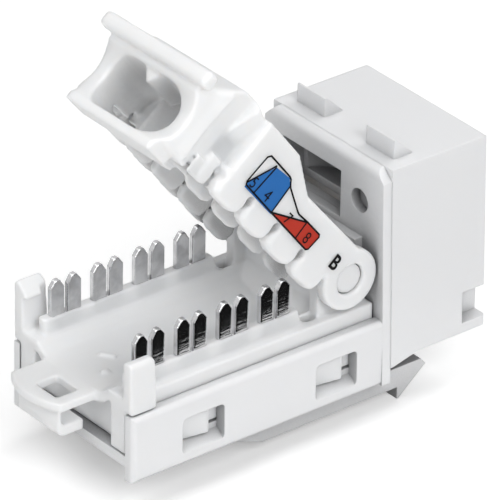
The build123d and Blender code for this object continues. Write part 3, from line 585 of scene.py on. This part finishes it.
def studio():
    """Pale floor, dark card, even world light with a white backdrop, and soft lamps."""
    low = cad_low[2]
    across = (-FLOOR_HALF, FLOOR_HALF)
    paper = level_sheet("studio_floor", "studio_paper", across, across, low, FLOOR_TONE)[1]
    principled(paper).inputs["Emission Color"].default_value = (1.0, 1.0, 1.0, 1.0)
    camera_rays = paper.node_tree.nodes.new("ShaderNodeLightPath")
    glow = paper.node_tree.nodes.new("ShaderNodeMath")
    glow.operation = "MULTIPLY"
    glow.inputs[1].default_value = FLOOR_GLOW
    paper.node_tree.links.new(camera_rays.outputs["Is Camera Ray"], glow.inputs[0])
    paper.node_tree.links.new(glow.outputs["Value"], principled(paper).inputs["Emission Strength"])
    dark_card(low)

    world = bpy.data.worlds.new("studio_light")
    world.use_nodes = True
    bpy.context.scene.world = world
    nodes, links = world.node_tree.nodes, world.node_tree.links
    sky = nodes["Background"]
    sky.inputs["Color"].default_value = (1.0, 1.0, 1.0, 1.0)
    sky.inputs["Strength"].default_value = SKY_STRENGTH
    backdrop = nodes.new("ShaderNodeBackground")
    backdrop.inputs["Strength"].default_value = BACKDROP_STRENGTH
    rays = nodes.new("ShaderNodeLightPath")
    seen = nodes.new("ShaderNodeMath")
    seen.operation = "MAXIMUM"
    links.new(rays.outputs["Is Camera Ray"], seen.inputs[0])
    links.new(rays.outputs["Is Glossy Ray"], seen.inputs[1])
    mix = nodes.new("ShaderNodeMixShader")
    links.new(seen.outputs["Value"], mix.inputs["Fac"])
    links.new(sky.outputs["Background"], mix.inputs[1])
    links.new(backdrop.outputs["Background"], mix.inputs[2])
    links.new(mix.outputs["Shader"], nodes["World Output"].inputs["Surface"])

    for name, place, power in LAMPS:
        soft_lamp(name, place, power)


def camera():
    """Camera at the photograph's angle: the view direction from azimuth and elevation, then a small roll."""
    azimuth, elevation, roll = (math.radians(a) for a in (VIEW_AZIMUTH, VIEW_ELEVATION, VIEW_ROLL))
    ahead = np.array([-math.sin(azimuth) * math.cos(elevation), math.cos(azimuth) * math.cos(elevation),
                      -math.sin(elevation)])
    level = np.array([math.cos(azimuth), math.sin(azimuth), 0.0])
    upright = np.cross(level, ahead)
    right = level * math.cos(roll) + upright * math.sin(roll)
    up = upright * math.cos(roll) - level * math.sin(roll)
    place = VIEW_AIM - VIEW_DISTANCE * ahead - VIEW_ACROSS * right - VIEW_UP * up
    lens = bpy.data.cameras.new("photo_camera")
    lens.sensor_width = SENSOR_WIDTH_MM
    lens.lens = FOCAL_LENGTH_PX * SENSOR_WIDTH_MM / PHOTO_WIDTH_PX
    lens.clip_start = 0.01
    lens.clip_end = 10.0
    holder = bpy.data.objects.new("photo_camera", lens)
    axes = np.column_stack([right, up, -ahead])
    holder.matrix_world = Matrix.Translation(place.tolist()) @ Matrix(axes.tolist()).to_4x4()
    bpy.context.scene.collection.objects.link(holder)
    bpy.context.scene.camera = holder


def dress_mouldings(moulded):
    """White block, shell and latch arm with strong painted cavity shade; a lighter tray with ticks, a lit
    copy of the same plastic with almost no painted cavity shade; milky wire cap with painted shade deep in
    its barrel; grey contact carrier with the default painted cavity shade.
    """
    # Strong painted cavity shade darkens the white plastic in its hollows and under the cap
    white = dressed_material(
        "white_moulding",
        moulded,
        {"Colour": (0.82, 0.825, 0.835, 1.0), "Shade": (0.78, 0.785, 0.8, 1.0), "Gloss": 0.32, "Matt": 0.4,
         "Cavity Reach": 0.008, "Painted Cavity Shade": 0.9},
        ior=1.53,
        subsurface=0.35,
        depth=0.0004,
    )
    # Lit copy of the same white plastic: a touch lighter and with almost no painted cavity shade, so that the
    # trough and ramp under the cap show lighter
    bright = dressed_material(
        "tray_moulding",
        moulded,
        {"Colour": (0.83, 0.835, 0.84, 1.0), "Shade": (0.8, 0.805, 0.815, 1.0), "Gloss": 0.32, "Matt": 0.4,
         "Painted Cavity Shade": 0.05},
        ior=1.53,
        subsurface=0.6,
        depth=0.0012,
    )
    # Painted cavity shade only in the deepest hollows of the cap, inside its barrel
    milky = dressed_material(
        "milky_moulding",
        moulded,
        {"Colour": (0.85, 0.855, 0.86, 1.0), "Shade": (0.82, 0.825, 0.83, 1.0), "Gloss": 0.3, "Matt": 0.36,
         "Edge Radius": 0.0003, "Cavity Reach": 0.011, "Cavity Start": 0.25, "Painted Cavity Shade": 0.95},
        subsurface=0.85,
        depth=0.0013,
    )
    # The carrier keeps the group's default painted cavity shade
    grey = dressed_material(
        "carrier_moulding",
        moulded,
        {"Colour": (0.62, 0.62, 0.63, 1.0), "Shade": (0.5, 0.5, 0.52, 1.0)},
    )
    assign(["front_housing", "rear_shell", "latch_arm"], white)
    assign(["contact_carrier"], grey)
    ticks = [raised_tick(*tick) for tick in TROUGH_TICKS]
    softened_copy("idc_tray_moulding", "idc_tray", bright, "jack", MOULDING_SKIN, ticks)
    fills = [cap_block(u, v, side) for u, v, y in CAP_FILLS for side in (y, [-k for k in y])]
    softened_copy("wire_cap_moulding", "wire_cap", milky, "cap", MOULDING_SKIN, fills)


def dress_metal(plated):
    """Tin-plated blades with softened edges, and gold-plated spring wires."""
    tin = dressed_material("tin_plate", plated, {}, metallic=1.0)
    gold = dressed_material(
        "gold_plate",
        plated,
        {"Colour": (0.83, 0.56, 0.22, 1.0), "Stain": (0.6, 0.38, 0.14, 1.0), "Edge Radius": 0.00002},
        metallic=1.0,
    )
    for node in sorted(n for n in frame["nodes"] if n.startswith("idc_contact")):
        softened_copy(node.replace("contact", "blade"), node, tin, "jack", BLADE_SKIN)
    assign([n for n in frame["nodes"] if n.startswith("jack_wire")], gold)


def main():
    moulded = moulded_surface_group()
    dress_mouldings(moulded)
    dress_metal(plated_surface_group())
    assign(["circuit_board"], board_material(moulded))
    wiring_label(moulded)
    studio()
    camera()
    bpy.context.scene.view_settings.view_transform = "Standard"


main()
